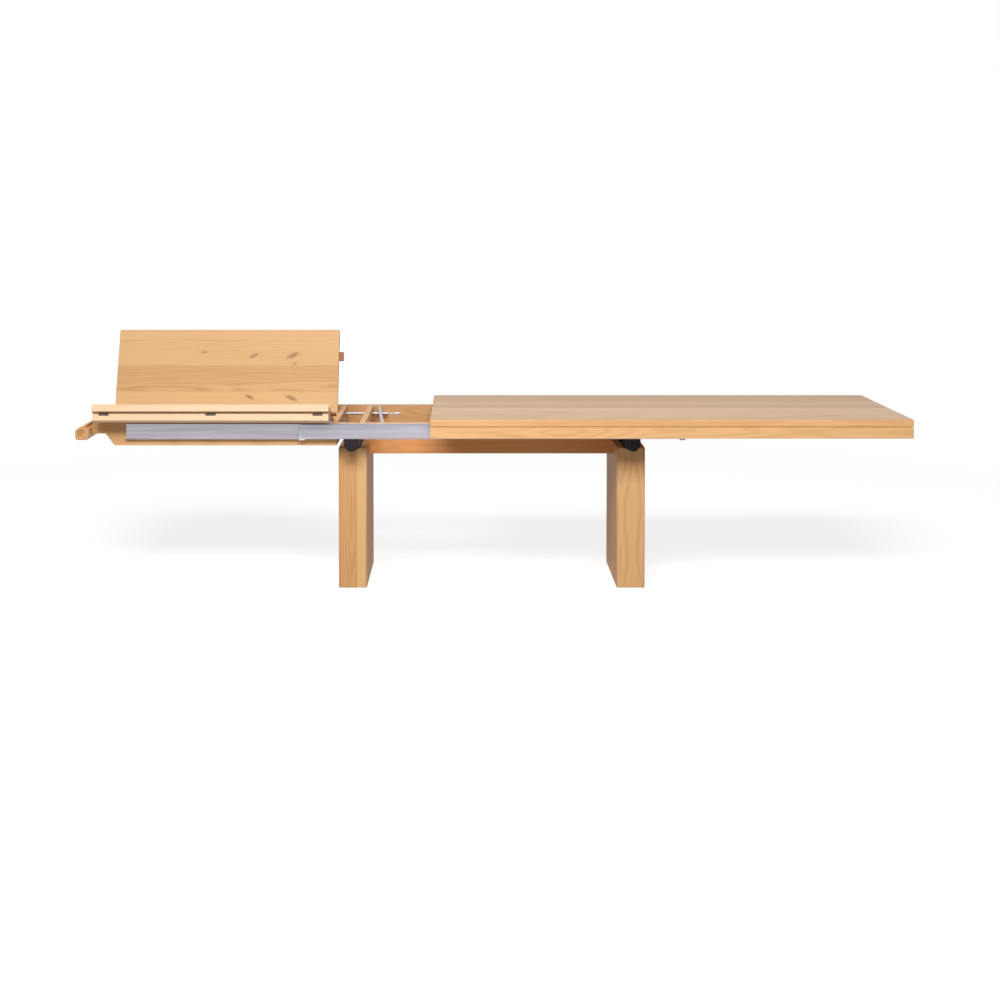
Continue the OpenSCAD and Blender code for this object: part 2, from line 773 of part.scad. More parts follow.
color("burlywood") mirror([1, 0, 0]) leg();  // leg_left
color("burlywood") leg();  // leg_right
beam();
color("dimgray") mirror([1, 0, 0]) bearer();  // bearer_left
color("dimgray") bearer();  // bearer_right
bearer_screws();
glides();
to_front() fixed_rail();  // rail_front
fixed_rail();  // rail_back
rail_caps();
stop_screws();
gear_bracket();
gear_clip();
top_board();
to_front() apron_long();  // apron_front
apron_long();  // apron_back
apron_end();
corner_blocks();
stiffeners();
to_front() top_runner();  // runner_front
top_runner();  // runner_back
runner_screws();
top_rack();
to_front() side_rail();  // side_rail_front
side_rail();  // side_rail_back
to_front() channel();  // channel_front
channel();  // channel_back
end_rail_left();
end_rail_right();
cross_member();
tie_bar();
carrier_rack();
leaf_pins();
flap_hinges();
color("wheat") stand_front() to_front() half_board();  // leaf_board_front
color("peru") stand_front() to_front() leaf_tongue();  // leaf_tongue_front
pivot_plates();
color("darkslategray") stand_front() to_front() strip_hinges();  // strip_hinges_front
color("darkslategray") stand_front() {  // mid_hinge_front
        to_front() mid_hinge([0]);
        mid_pins();
    }
color("wheat") stand_back() half_board();  // leaf_board_back
color("peru") stand_back() leaf_tongue();  // leaf_tongue_back
color("darkslategray") stand_back() strip_hinges();  // strip_hinges_back
color("darkslategray") stand_back()  // mid_hinge_back
        mid_hinge([-knuckle_w, knuckle_w], barrel_pin_r + run_clear);
color("wheat") stand_front() to_front() strip();  // strip_front
color("wheat") stand_back() strip();  // strip_back
flap_shell();
flap_core();
flap_lugs();
pinion();
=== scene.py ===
"""Looks of an extendable dining table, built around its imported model."""

import json
import math

import bmesh
import bpy
from mathutils import Matrix, Vector


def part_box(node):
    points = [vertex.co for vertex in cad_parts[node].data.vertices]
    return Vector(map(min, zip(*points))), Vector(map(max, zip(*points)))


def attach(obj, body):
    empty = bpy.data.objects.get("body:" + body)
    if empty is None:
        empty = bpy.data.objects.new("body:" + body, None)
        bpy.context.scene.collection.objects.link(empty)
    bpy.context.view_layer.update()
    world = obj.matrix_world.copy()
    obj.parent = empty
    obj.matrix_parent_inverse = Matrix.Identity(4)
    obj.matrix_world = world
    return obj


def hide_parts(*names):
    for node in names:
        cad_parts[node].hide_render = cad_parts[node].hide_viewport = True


bl_info = {
    "name": "Extendable Dining Table",
    "version": (1, 0, 0),
    "blender": (4, 5, 0),
    "location": "3D View > Sidebar > Table",
    "description": "Oiled timber, brushed aluminium and fittings for an extendable table",
    "category": "Object",
}

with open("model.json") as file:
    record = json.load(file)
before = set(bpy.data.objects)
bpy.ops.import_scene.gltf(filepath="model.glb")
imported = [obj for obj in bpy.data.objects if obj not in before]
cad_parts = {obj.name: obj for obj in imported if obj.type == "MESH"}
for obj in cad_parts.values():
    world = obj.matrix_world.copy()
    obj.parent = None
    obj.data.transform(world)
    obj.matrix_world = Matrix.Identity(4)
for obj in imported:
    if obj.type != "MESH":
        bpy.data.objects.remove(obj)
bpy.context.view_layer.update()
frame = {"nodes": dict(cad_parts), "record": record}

JOINT = {joint["name"]: joint for joint in frame["record"]["behaviour"]["joints"]}
BODY_OF = {
    node: body
    for body, nodes in frame["record"]["behaviour"]["bodies"].items()
    for node in nodes
}

LEAF_TILT = math.radians(JOINT["leaf_front_tilt"]["range_deg"][1])
LEAF_FOLD = -math.radians(JOINT["leaf_back_fold"]["range_deg"][0])
LEAF_LOW, LEAF_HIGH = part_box("leaf_board_back")
HINGE = Vector(JOINT["leaf_back_fold"]["pos_m"])


# ---- Settings -------------------------------------------------------------------------


class TableTimber(bpy.types.PropertyGroup):
    """Colours and edges of the wooden parts."""

    light: bpy.props.FloatVectorProperty(
        name="Early wood", description="Colour between the growth rings",
        subtype="COLOR", default=(0.80, 0.49, 0.235), min=0, max=1,
    )
    dark: bpy.props.FloatVectorProperty(
        name="Late wood", description="Colour of the growth rings",
        subtype="COLOR", default=(0.60, 0.315, 0.125), min=0, max=1,
    )
    # Heartwood tone. The back rail and the flap core take more of it than the other boards, as
    # painted shade.
    heart: bpy.props.FloatVectorProperty(
        name="Heartwood", description="Colour of the darker boards below the top",
        subtype="COLOR", default=(0.43, 0.15, 0.045), min=0, max=1,
    )
    knot: bpy.props.FloatVectorProperty(
        name="Knots", description="Colour of the knots",
        subtype="COLOR", default=(0.115, 0.048, 0.02), min=0, max=1,
    )
    # Painted sheen: a greyer tone painted on the broad faces of the top, standing in for the
    # grazing reflection.
    painted_sheen: bpy.props.FloatVectorProperty(
        name="Painted sheen", description="Greyer tone painted on the broad faces of the table top as sheen",
        subtype="COLOR", default=(0.445, 0.35, 0.272), min=0, max=1,
    )
    stave: bpy.props.FloatProperty(
        name="Stave width", description="Width of the staves glued into a board",
        default=0.118, min=0.03, max=0.3, unit="LENGTH",
    )
    ring_pitch: bpy.props.FloatProperty(
        name="Ring pitch", description="Distance between growth rings",
        default=0.0055, min=0.001, max=0.02, unit="LENGTH",
    )
    easing: bpy.props.FloatProperty(
        name="Eased edges", description="Radius on the edges of the boards",
        default=0.0015, min=0.0003, max=0.004, unit="LENGTH",
    )


class TableMetal(bpy.types.PropertyGroup):
    """Colours of the metal parts."""

    aluminium: bpy.props.FloatVectorProperty(
        name="Aluminium", description="Anodised rails, channels and runners",
        subtype="COLOR", default=(0.47, 0.45, 0.505), min=0, max=1,
    )
    black: bpy.props.FloatVectorProperty(
        name="Powder coat", description="Bearers on the legs",
        subtype="COLOR", default=(0.014, 0.010, 0.012), min=0, max=1,
    )
    zinc: bpy.props.FloatVectorProperty(
        name="Zinc plate", description="Racks, plates, pins and screws",
        subtype="COLOR", default=(0.42, 0.42, 0.44), min=0, max=1,
    )
    bronze: bpy.props.FloatVectorProperty(
        name="Hinges", description="Lacquered hinges of the leaf and the flap",
        subtype="COLOR", default=(0.060, 0.040, 0.028), min=0, max=1,
    )
    screw_radius: bpy.props.FloatProperty(
        name="Screw head radius", description="Radius of the countersunk screw heads",
        default=0.0034, min=0.001, max=0.006, unit="LENGTH",
    )


class TableStudio(bpy.types.PropertyGroup):
    """Camera and light."""

    camera_place: bpy.props.FloatVectorProperty(
        name="Camera", description="Place of the camera",
        subtype="TRANSLATION", unit="LENGTH", default=(-0.110, -7.166, 1.6244),
    )
    camera_pitch: bpy.props.FloatProperty(
        name="Pitch", description="How far the camera looks down",
        subtype="ANGLE", default=math.radians(2),
    )
    lens: bpy.props.FloatProperty(
        name="Lens", description="Focal length in millimetres", default=58.464, min=20, max=200,
    )
    shift: bpy.props.FloatVectorProperty(
        name="Shift", description="Lens shift, in widths of the picture",
        size=2, default=(0.0339, -0.2342),
    )
    key: bpy.props.FloatProperty(
        name="Key light", description="Power of the large soft light in front",
        default=410, min=0, max=2000, unit="POWER",
    )
    top: bpy.props.FloatProperty(
        name="Top light", description="Power of the soft light above",
        default=10, min=0, max=2000, unit="POWER",
    )
    fill: bpy.props.FloatProperty(
        name="Fill", description="Strength of the even light from all round",
        default=0.20, min=0, max=2,
    )
    floor_glow: bpy.props.FloatProperty(
        name="Floor glow", description="Light the floor adds for the camera alone",
        default=0.74, min=0, max=2,
    )


# ---- Shader expressions ---------------------------------------------------------------


class Sock:
    """An output socket that can stand in a Python expression."""

    def __init__(self, finish, socket):
        self.finish = finish
        self.socket = socket

    def _math(self, operation, *values):
        return self.finish.node("ShaderNodeMath", {"operation": operation}, values)["Value"]

    def __add__(self, other):
        return self._math("ADD", self, other)

    def __sub__(self, other):
        return self._math("SUBTRACT", self, other)

    def __rsub__(self, other):
        return self._math("SUBTRACT", other, self)

    def __mul__(self, other):
        return self._math("MULTIPLY", self, other)

    def __truediv__(self, other):
        return self._math("DIVIDE", self, other)

    def __rtruediv__(self, other):
        return self._math("DIVIDE", other, self)

    def __pow__(self, other):
        return self._math("POWER", self, other)

    def __abs__(self):
        return self._math("ABSOLUTE", self)

    __radd__ = __add__
    __rmul__ = __mul__

    def call(self, operation, *values):
        """Any other Math operation on this value."""
        return self._math(operation, self, *values)

    def step(self, low, high):
        """A smooth step from 0 at low to 1 at high."""
        settings = {"interpolation_type": "SMOOTHSTEP"}
        return self.finish.node("ShaderNodeMapRange", settings, (self, low, high, 0, 1))["Result"]


class Finish:
    """A material in the making: its nodes are made by one method."""

    def __init__(self, name):
        self.material = bpy.data.materials.new(name)
        self.material.use_nodes = True
        self.tree = self.material.node_tree
        self.shader = self.tree.nodes["Principled BSDF"]

    def node(self, kind, settings=None, values=()):
        """Makes a node, sets it up and feeds it; gives its enabled outputs by name."""
        node = self.tree.nodes.new(kind)
        for key, value in (settings or {}).items():
            setattr(node, key, value)
        enabled = [socket for socket in node.inputs if socket.enabled]
        if isinstance(values, dict):
            pairs = [(next(s for s in enabled if s.name == key), values[key]) for key in values]
        else:
            pairs = zip(enabled, values)
        for socket, value in pairs:
            self.feed(socket, value)
        return {socket.name: Sock(self, socket) for socket in node.outputs if socket.enabled}

    def feed(self, socket, value):
        """Links a socket, or sets its value."""
        if isinstance(value, Sock):
            self.tree.links.new(value.socket, socket)
        elif isinstance(value, (tuple, list)) and socket.type == "RGBA":
            socket.default_value = (*value[:3], 1)
        else:
            socket.default_value = value

    def set(self, **values):
        """Feeds the shader's own sockets; an underscore stands for a space."""
        for key, value in values.items():
            self.feed(self.shader.inputs[key.replace("_", " ")], value)
        return self

    def mix(self, first, second, factor):
        """A colour between two colours."""
        values = {"Factor": factor, "A": first, "B": second}
        settings = {"data_type": "RGBA", "clamp_factor": True}
        return self.node("ShaderNodeMix", settings, values)["Result"]

    def split(self, vector):
        """The three parts of a vector."""
        parts = self.node("ShaderNodeSeparateXYZ", None, (vector,))
        return parts["X"], parts["Y"], parts["Z"]

    def join(self, x, y, z):
        """A vector from three parts."""
        return self.node("ShaderNodeCombineXYZ", None, (x, y, z))["Vector"]

    def noise(self, vector, scale=1.0, detail=2.0, rough=0.5):
        """Smooth noise from about 0 to 1."""
        values = {"Vector": vector, "Scale": scale, "Detail": detail, "Roughness": rough}
        return self.node("ShaderNodeTexNoise", None, values)["Fac"]

    def random(self, x, y, z=0.0):
        """One random value for each whole x, y and z."""
        return self.node("ShaderNodeTexWhiteNoise", None, (self.join(x, y, z),))["Value"]

    def turned(self, output, rotation):
        """Object coordinates or normals, turned to a piece's own grain."""
        source = self.node("ShaderNodeTexCoord")[output]
        settings = {"vector_type": "POINT" if output == "Object" else "NORMAL"}
        values = {"Vector": source, "Rotation": rotation}
        return self.node("ShaderNodeMapping", settings, values)["Vector"]

    def bump(self, height, strength, distance):
        """A normal from a height; the distance is in metres."""
        values = {"Strength": strength, "Distance": distance, "Height": height}
        self.feed(self.shader.inputs["Normal"], self.node("ShaderNodeBump", None, values)["Normal"])


# ---- Materials ------------------------------------------------------------------------

ALONG_X = (0, 0, 0)
ALONG_Y = (0, 0, -math.pi / 2)
ALONG_Z = (0, math.pi / 2, 0)
MADE = {}


def timber(name, grain=ALONG_X, seed=0, stave=None, lamella=None, seam_at=None, knots=(),
           tone=0.0, heart=0.0, grey=0.0, contrast=1.0, bands=0.42, painted_sheen=0.0, ior=1.3):
    """Oiled solid wood: glued staves, growth rings, fibres, pores, knots and end grain.

    knots lists (along, across, radius, slant) in metres, in the grain's own coordinates.
    seam_at is the depth of a seam between two lamellas, bands the difference in tone between
    them and painted_sheen the share of a greyer tone painted on the broad faces as a sheen.
    """
    wood = bpy.context.scene.table_timber
    finish = Finish(name)
    x, y, z = finish.split(finish.turned("Object", grain))
    end_x, _, face_z = finish.split(finish.turned("Normal", grain))
    end = abs(end_x).step(0.72, 0.92)

    stave_place = y / (stave or wood.stave) + (0.37 + seed)
    lamella = lamella or 5.0
    lamella_place = (z - (seam_at or 0.0)) / lamella + (seed + (0.31 if seam_at is None else 0))
    row = stave_place.call("FLOOR")
    layer = lamella_place.call("FLOOR")
    chance = finish.random(row, layer, float(seed))
    second_chance = finish.random(row, layer, seed + 0.5)
    across = (stave_place.call("FRACT") - 0.5) * (stave or wood.stave)

    shift = chance * 17.0
    slow = finish.noise(finish.join(x * 0.55 + shift, y * 2.2, z * 2.2), 1.0, 2.0)
    waver = finish.noise(finish.join(x * 3.5 + shift, y * 16.0, z * 16.0), 1.0, 2.0)
    heart_across = across + (second_chance - 0.5) * 0.11 + (slow - 0.5) * 0.12
    heart_depth = z.call("PINGPONG", 0.05) + 0.012 + chance * 0.05
    rings_at = (heart_across ** 2 + heart_depth ** 2).call("SQRT") + (waver - 0.5) * 0.010

    knot_core = None
    for along, side, radius, slant in knots:
        norm = math.hypot(1, slant)
        offset_x = (x - along + (y - side) * slant) / (norm * 2.2)
        offset_y = (y - side - (x - along) * slant) / (norm * 0.8)
        reach = (offset_x ** 2 + offset_y ** 2).call("SQRT") + (waver - 0.5) * radius * 1.6
        core = 1 - reach.step(radius * 0.15, radius * 1.2)
        knot_core = core if knot_core is None else knot_core.call("MAXIMUM", core)
        swirl = (reach / (radius * -2.4)).call("EXPONENT")
        rings_at = rings_at + swirl * (radius * 1.6)

    wave = (rings_at * (2 * math.pi / wood.ring_pitch)).call("SINE") * 0.5 + 0.5
    ring = wave ** 2.5
    fibre = finish.noise(finish.join(x * 5 + shift, y * 210.0, z * 210.0), 1.0, 3.0, 0.6)
    pore = finish.noise(finish.join(x * 26 + shift, y * 900.0, z * 900.0), 1.0, 1.0)
    pores = pore.step(0.60, 0.72)
    cloud = finish.noise(finish.join(x * 1.6 + shift, y * 9.0, z * 9.0), 1.0, 2.0)

    mellow = lambda colour: tuple(
        c * (1 - heart) + h * heart for c, h in zip(colour, wood.heart)
    )
    light, dark = mellow(wood.light), mellow(wood.dark)
    mean = sum(light) / 3
    light = tuple((c * (1 - grey) + mean * grey) * (1 + tone) for c in light)
    dark = tuple((c * (1 - grey) + mean * 0.72 * grey) * (1 + tone) for c in dark)

    share = (ring * 0.40 + (fibre - 0.5) * 0.75 + (cloud - 0.5) * 0.55
             + (chance - 0.5) * bands + pores * 0.16) * contrast + 0.16
    colour = finish.mix(light, dark, share)
    colour = finish.mix(colour, tuple(c * 0.62 for c in dark), end * (0.25 + ring * 0.35))
    if knot_core is not None:
        colour = finish.mix(colour, tuple(wood.knot), knot_core * (0.28 + fibre * 0.5))
    # Painted sheen: the broad faces are mixed towards a greyer tone that stands in for the grazing
    # reflection.
    if painted_sheen:
        broad = abs(face_z).step(0.6, 0.9)
        colour = finish.mix(colour, tuple(wood.painted_sheen), broad * painted_sheen)
    seam = (abs(stave_place.call("FRACT") - 0.5)).step(0.4925, 0.4985)
    colour = finish.mix(colour, tuple(c * 0.55 for c in dark), seam * 0.35)
    roughness = fibre * 0.16 + pores * 0.10 + end * 0.12 + 0.36
    finish.set(Base_Color=colour, Roughness=roughness, Specular_IOR_Level=0.22,
               IOR=ior)
    finish.bump(fibre * 0.5 - pores * 0.8 + ring * 0.3 - seam, 0.25, 0.0004)
    MADE[name] = finish.material
    return finish.material


def brushed(name, colour, grain=ALONG_X, rough=0.34, spread=0.16, metallic=0.9):
    """Metal with fine lines along its length and faint handling marks."""
    finish = Finish(name)
    x, y, z = finish.split(finish.turned("Object", grain))
    lines = finish.noise(finish.join(x * 4, y * 900.0, z * 900.0), 1.0, 3.0, 0.65)
    smear = finish.noise(finish.join(x * 2.2, y * 60.0, z * 60.0), 1.0, 3.0)
    fleck = finish.noise(finish.join(x * 160, y * 160, z * 160), 1.0, 1.0).step(0.66, 0.74)
    shade = finish.mix(tuple(c * 0.62 for c in colour), tuple(min(c * 1.18, 1) for c in colour),
                       lines * 0.7 + (smear - 0.5) * 1.5 + 0.15)
    shade = finish.mix(shade, tuple(c * 0.7 for c in colour), fleck * 0.18)
    finish.set(Base_Color=shade, Roughness=lines * spread + smear * 0.10 + rough - 0.1,
               Metallic=metallic)
    finish.bump(lines, 0.12, 0.0002)
    MADE[name] = finish.material
    return finish.material


def coated(name, colour, rough=0.5, grit=0.35, metallic=0.0, shine=0.5):
    """Powder coat, lacquer or moulded plastic with a fine orange-peel skin."""
    finish = Finish(name)
    place = finish.node("ShaderNodeTexCoord")["Object"]
    peel = finish.noise(place, 900.0, 2.0)
    wear = finish.noise(place, 22.0, 3.0)
    worn = tuple(min(c * 1.5 + 0.004, 1) for c in colour)
    shade = finish.mix(tuple(c * 0.8 for c in colour), worn, wear * 0.8 + peel * 0.3 - 0.05)
    finish.set(Base_Color=shade, Roughness=wear * 0.12 + peel * 0.06 + rough - 0.08,
               Metallic=metallic, Specular_IOR_Level=shine)
    finish.bump(peel, grit, 0.0003)
    MADE[name] = finish.material
    return finish.material


class TABLE_OT_finishes(bpy.types.Operator):
    """Makes the wood, metal and plastic finishes"""

    bl_idname = "table.finishes"
    bl_label = "Finishes"

    def execute(self, context):
        metal = context.scene.table_metal
        leaf = (LEAF_LOW.x + LEAF_HIGH.x) / 2
        # The top's painted sheen greys its broad faces in place of the grazing reflection.
        timber("Top wood", seed=3, grey=0.04, tone=0.13, contrast=2.3, bands=1.0, painted_sheen=0.42,
               ior=1.45)
        timber("Apron wood", seed=5, stave=0.9, contrast=0.8)
        timber("End apron wood", grain=ALONG_Y, seed=6, stave=0.9, contrast=0.8)
        timber("Left leg wood", grain=ALONG_Z, seed=10, stave=0.6, lamella=0.15, seam_at=0.576,
               heart=0.14, tone=-0.06, bands=1.6, ior=1.15)
        timber("Right leg wood", grain=ALONG_Z, seed=12, stave=0.6, lamella=0.3,
               heart=0.16, tone=-0.10, ior=1.15)
        # Painted light: the raised tone brightens the beam where it lies in shade under the top.
        timber("Beam wood", seed=15, stave=0.9, heart=0.70, tone=0.36, ior=1.2)
        timber("Rail wood", seed=18, stave=0.9, heart=0.15, tone=0.15)
        # Painted shade: more heartwood and a lower tone than the front rail darken the back rail's
        # inner face.
        timber("Back rail wood", seed=18, stave=0.9, heart=0.30, tone=-0.12)
        timber("Cross wood", grain=ALONG_Y, seed=19, stave=0.9, heart=0.10)
        front = (LEAF_TILT, 0, 0)
        back = (LEAF_TILT - LEAF_FOLD, 0, 0)
        # Painted highlight: a paler, greyer copy of the leaf wood stands in for the sheen on the
        # front board.
        timber("Front leaf wood", grain=front, seed=21, grey=0.30, tone=0.16)
        # Painted shade: the lower tone darkens the back board, which faces the key light more
        # squarely; its knots, contrast and bands are its own.
        timber("Back leaf wood", grain=back, seed=24, knots=leaf_knots(leaf), contrast=1.15,
               bands=0.7, tone=-0.20)
        timber("Tongue wood", seed=27, stave=0.9, heart=0.75, tone=-0.35)
        timber("Flap wood", grain=ALONG_Y, seed=28, stave=0.9, heart=0.08)
        # The core is a real piece set back in the flap; its darker wood is painted shade for the
        # recess.
        timber("Flap core wood", grain=ALONG_Y, seed=30, stave=0.9, heart=0.50)
        brushed("Aluminium", tuple(metal.aluminium))
        brushed("Zinc", tuple(metal.zinc), rough=0.38)
        brushed("Zinc across", tuple(metal.zinc), grain=ALONG_Y, rough=0.38)
        coated("Powder coat", tuple(metal.black), rough=0.6, shine=0.15)
        coated("Bronze lacquer", tuple(metal.bronze), rough=0.42, metallic=0.4)
        coated("Dark plastic", (0.035, 0.035, 0.036), rough=0.5)
        coated("White plastic", (0.55, 0.55, 0.54), rough=0.42, grit=0.15)
        return {"FINISHED"}


def leaf_knots(middle):
    """Slanting knots on the leaf's back half, from its middle and its hinge line."""
    turn = LEAF_TILT - LEAF_FOLD
    hinge_across = HINGE.y * math.cos(turn) - HINGE.z * math.sin(turn)
    places = ((0.112, 0.328, 0.012, 0.45), (0.290, 0.330, 0.016, 0.45), (0.298, 0.292, 0.008, 0.5),
              (0.102, 0.138, 0.010, -0.5), (0.290, 0.132, 0.012, -0.4), (-0.11, 0.345, 0.008, 0.1))
    return tuple(
        (middle + along, hinge_across + across, size, slant)
        for along, across, size, slant in places
    )


# ---- Mesh helpers ---------------------------------------------------------------------

WELD = 1e-5
FLAT = math.radians(1.5)
SHARP = math.radians(40)


def finish_piece(piece, body, material, nodes=()):
    """Gives a new piece its material, its body and the nodes it stands for."""
    piece.data.materials.clear()
    piece.data.materials.append(MADE[material])
    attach(piece, body)
    if nodes:
        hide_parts(*nodes)
    return piece


def round_edges(form, edges, radius):
    """Rounds some edges of a bmesh."""
    bmesh.ops.bevel(form, geom=edges, offset=radius, segments=2, profile=0.5,
                    affect="EDGES", clamp_overlap=True)


def eased_copy(node, radius):
    """A copy of a CAD solid with its outer edges rounded, inside the solid's own size."""
    form = bmesh.new()
    form.from_mesh(frame["nodes"][node].data)
    bmesh.ops.remove_doubles(form, verts=form.verts, dist=WELD)
    bmesh.ops.dissolve_limit(form, angle_limit=FLAT, verts=form.verts, edges=form.edges)
    edges = [
        edge for edge in form.edges
        if len(edge.link_faces) == 2 and edge.calc_face_angle_signed() > SHARP
    ]
    round_edges(form, edges, radius)
    return new_piece(node + "_eased", form)


def new_piece(name, form):
    """A new object at the origin from a bmesh."""
    mesh = bpy.data.meshes.new(name)
    form.to_mesh(mesh)
    form.free()
    piece = bpy.data.objects.new(name, mesh)
    bpy.context.scene.collection.objects.link(piece)
    return piece


def bars(name, spans, radius=0.0012):
    """Eased square bars, each between a low and a high corner."""
    form = bmesh.new()
    for low, high in spans:
        low, high = Vector(low), Vector(high)
        size = high - low
        place = Matrix.Translation((low + high) / 2) @ Matrix.Diagonal((*size, 1))
        bmesh.ops.create_cube(form, size=1, matrix=place)
    round_edges(form, form.edges[:], radius)
    return new_piece(name, form)


def rod(name, y, z, steps, sides=24):
    """A turned rod along X; steps lists (x, radius) from one closed end to the other."""
    form = bmesh.new()
    rings = [
        [form.verts.new((x, y + radius * math.cos(2 * math.pi * i / sides),
                         z + radius * math.sin(2 * math.pi * i / sides))) for i in range(sides)]
        for x, radius in steps
    ]
    for first, second in zip(rings, rings[1:]):
        for i in range(sides):
            j = (i + 1) % sides
            form.faces.new((first[i], first[j], second[j], second[i]))
    form.faces.new(list(reversed(rings[0])))
    form.faces.new(rings[-1])
    bmesh.ops.recalc_face_normals(form, faces=form.faces)
    return new_piece(name, form)


def ease(nodes, material, radius=None):
    """Replaces wooden CAD nodes by copies with eased edges and the given wood."""
    easing = bpy.context.scene.table_timber.easing
    for node in nodes:
        piece = eased_copy(node, radius or easing)
        finish_piece(piece, BODY_OF[node], material, (node,))


def paint(nodes, material):
    """Gives CAD nodes that keep their shape a better material."""
    for node in nodes:
        mesh = frame["nodes"][node].data
        mesh.materials.clear()
        mesh.materials.append(MADE[material])


def screw_head_mesh():
    """One countersunk head with a cross recess, on the origin, facing +Z."""
    radius = bpy.context.scene.table_metal.screw_radius
    form = bmesh.new()
    sides = 16
    rims = [(radius, -0.0002), (radius * 0.92, 0.00025), (radius * 0.55, 0.00035)]
    rings = []
    for rim, height in rims:
        rings.append([
            form.verts.new((rim * math.cos(2 * math.pi * i / sides),
                            rim * math.sin(2 * math.pi * i / sides), height))
            for i in range(sides)
        ])
    for lower, upper in zip(rings, rings[1:]):
        for i in range(sides):
            j = (i + 1) % sides
            form.faces.new((lower[i], lower[j], upper[j], upper[i]))
    pit = form.verts.new((0, 0, -radius * 0.35))
    for i in range(sides):
        vert = rings[-1][i]
        if i % 4 in (1, 3):
            vert.co.x *= 0.6
            vert.co.y *= 0.6
        form.faces.new((vert, rings[-1][(i + 1) % sides], pit))
    form.faces.new(list(reversed(rings[0])))
    mesh = bpy.data.meshes.new("screw_head")
    form.to_mesh(mesh)
    form.free()
    return mesh


def screw_rows(name, starts, step, count, turn, material):
    """Rows of screw heads made by a node tree: a head at each step from each start."""
    tree = bpy.data.node_groups.new(name + "_rows", "GeometryNodeTree")
    face = tree.interface
    face.new_socket("Geometry", in_out="OUTPUT", socket_type="NodeSocketGeometry")
    for label, kind in (("Head", "NodeSocketObject"), ("Starts", "NodeSocketObject"),
                        ("Step", "NodeSocketVector"), ("Turn", "NodeSocketVector"),
                        ("Count", "NodeSocketInt")):
        face.new_socket(label, in_out="INPUT", socket_type=kind)
    made = {key: tree.nodes.new(kind) for key, kind in {
        "in": "NodeGroupInput", "out": "NodeGroupOutput", "head": "GeometryNodeObjectInfo",
        "starts": "GeometryNodeObjectInfo", "line": "GeometryNodeMeshLine",
        "rows": "GeometryNodeInstanceOnPoints", "real": "GeometryNodeRealizeInstances",
        "heads": "GeometryNodeInstanceOnPoints", "solid": "GeometryNodeRealizeInstances",
        "set": "GeometryNodeSetMaterial"}.items()}
    made["set"].inputs["Material"].default_value = MADE[material]
    for source, output, target, entry in (
        ("in", "Head", "head", "Object"), ("in", "Starts", "starts", "Object"),
        ("in", "Count", "line", "Count"), ("in", "Step", "line", "Offset"),
        ("starts", "Geometry", "rows", "Points"), ("line", "Mesh", "rows", "Instance"),
        ("rows", "Instances", "real", "Geometry"), ("real", "Geometry", "heads", "Points"),
        ("head", "Geometry", "heads", "Instance"), ("in", "Turn", "heads", "Rotation"),
        ("heads", "Instances", "solid", "Geometry"), ("solid", "Geometry", "set", "Geometry"),
        ("set", "Geometry", "out", "Geometry"),
    ):
        tree.links.new(made[source].outputs[output], made[target].inputs[entry])

    head = bpy.data.objects.new(name + "_head", screw_head_mesh())
    points = bpy.data.meshes.new(name + "_points")
    points.from_pydata(starts, [], [])
    places = bpy.data.objects.new(name + "_places", points)
    holder = bpy.data.objects.new(name, bpy.data.meshes.new(name + "_holder"))
    for item in (head, places, holder):
        bpy.context.scene.collection.objects.link(item)
    rows = holder.modifiers.new("Rows", "NODES")
    rows.node_group = tree
    values = {"Head": head, "Starts": places, "Step": step, "Turn": turn, "Count": count}
    for item in face.items_tree:
        if item.in_out == "INPUT":
            rows[item.identifier] = values[item.name]
    bpy.context.view_layer.update()
    graph = bpy.context.evaluated_depsgraph_get()
    mesh = bpy.data.meshes.new_from_object(holder.evaluated_get(graph))
    for item in (head, places, holder):
        bpy.data.objects.remove(item)
    piece = bpy.data.objects.new(name, mesh)
    bpy.context.scene.collection.objects.link(piece)
    return piece


def on_leaf(points, back):
    """Points of the flat leaf, (x, across from the hinge, up from its top), as it stands."""
    turn = LEAF_FOLD - LEAF_TILT if back else -LEAF_TILT
    side = 1 if back else -1
    return [
        (x, HINGE.y + side * across * math.cos(turn) - up * math.sin(turn),
         HINGE.z + side * across * math.sin(turn) + up * math.cos(turn))
        for x, across, up in points
    ]


# ---- Pieces ---------------------------------------------------------------------------


class TABLE_OT_pedestal(bpy.types.Operator):
    """Legs, beam, steel bearers, fixed rails and the synchronising gear"""

    bl_idname = "table.pedestal"
    bl_label = "Pedestal"

    def execute(self, context):
        ease(["leg_left"], "Left leg wood", 0.0025)
        ease(["leg_right"], "Right leg wood", 0.0025)
        # The beam takes the brightened wood, painted light.
        ease(["beam"], "Beam wood")
        paint(["bearer_left", "bearer_right", "gear_bracket"], "Powder coat")
        paint(["bearer_screws", "stop_screws", "gear_clip", "pinion"], "Zinc")
        paint(["glides"], "Dark plastic")
        paint(["rail_caps"], "White plastic")
        paint(["rail_front", "rail_back"], "Aluminium")
        return {"FINISHED"}


class TABLE_OT_top(bpy.types.Operator):
    """Main top with its aprons, stiffeners, runners and rack"""

    bl_idname = "table.top"
    bl_label = "Top"

    def execute(self, context):
        ease(["top_board"], "Top wood", 0.002)
        ease(["apron_front", "apron_back"], "Apron wood")
        ease(["apron_end"], "End apron wood")
        ease(["corner_blocks"], "Cross wood")
        paint(["stiffeners"], "Zinc across")
        paint(["runner_screws", "top_rack"], "Zinc")
        paint(["runner_front", "runner_back"], "Aluminium")
        return {"FINISHED"}


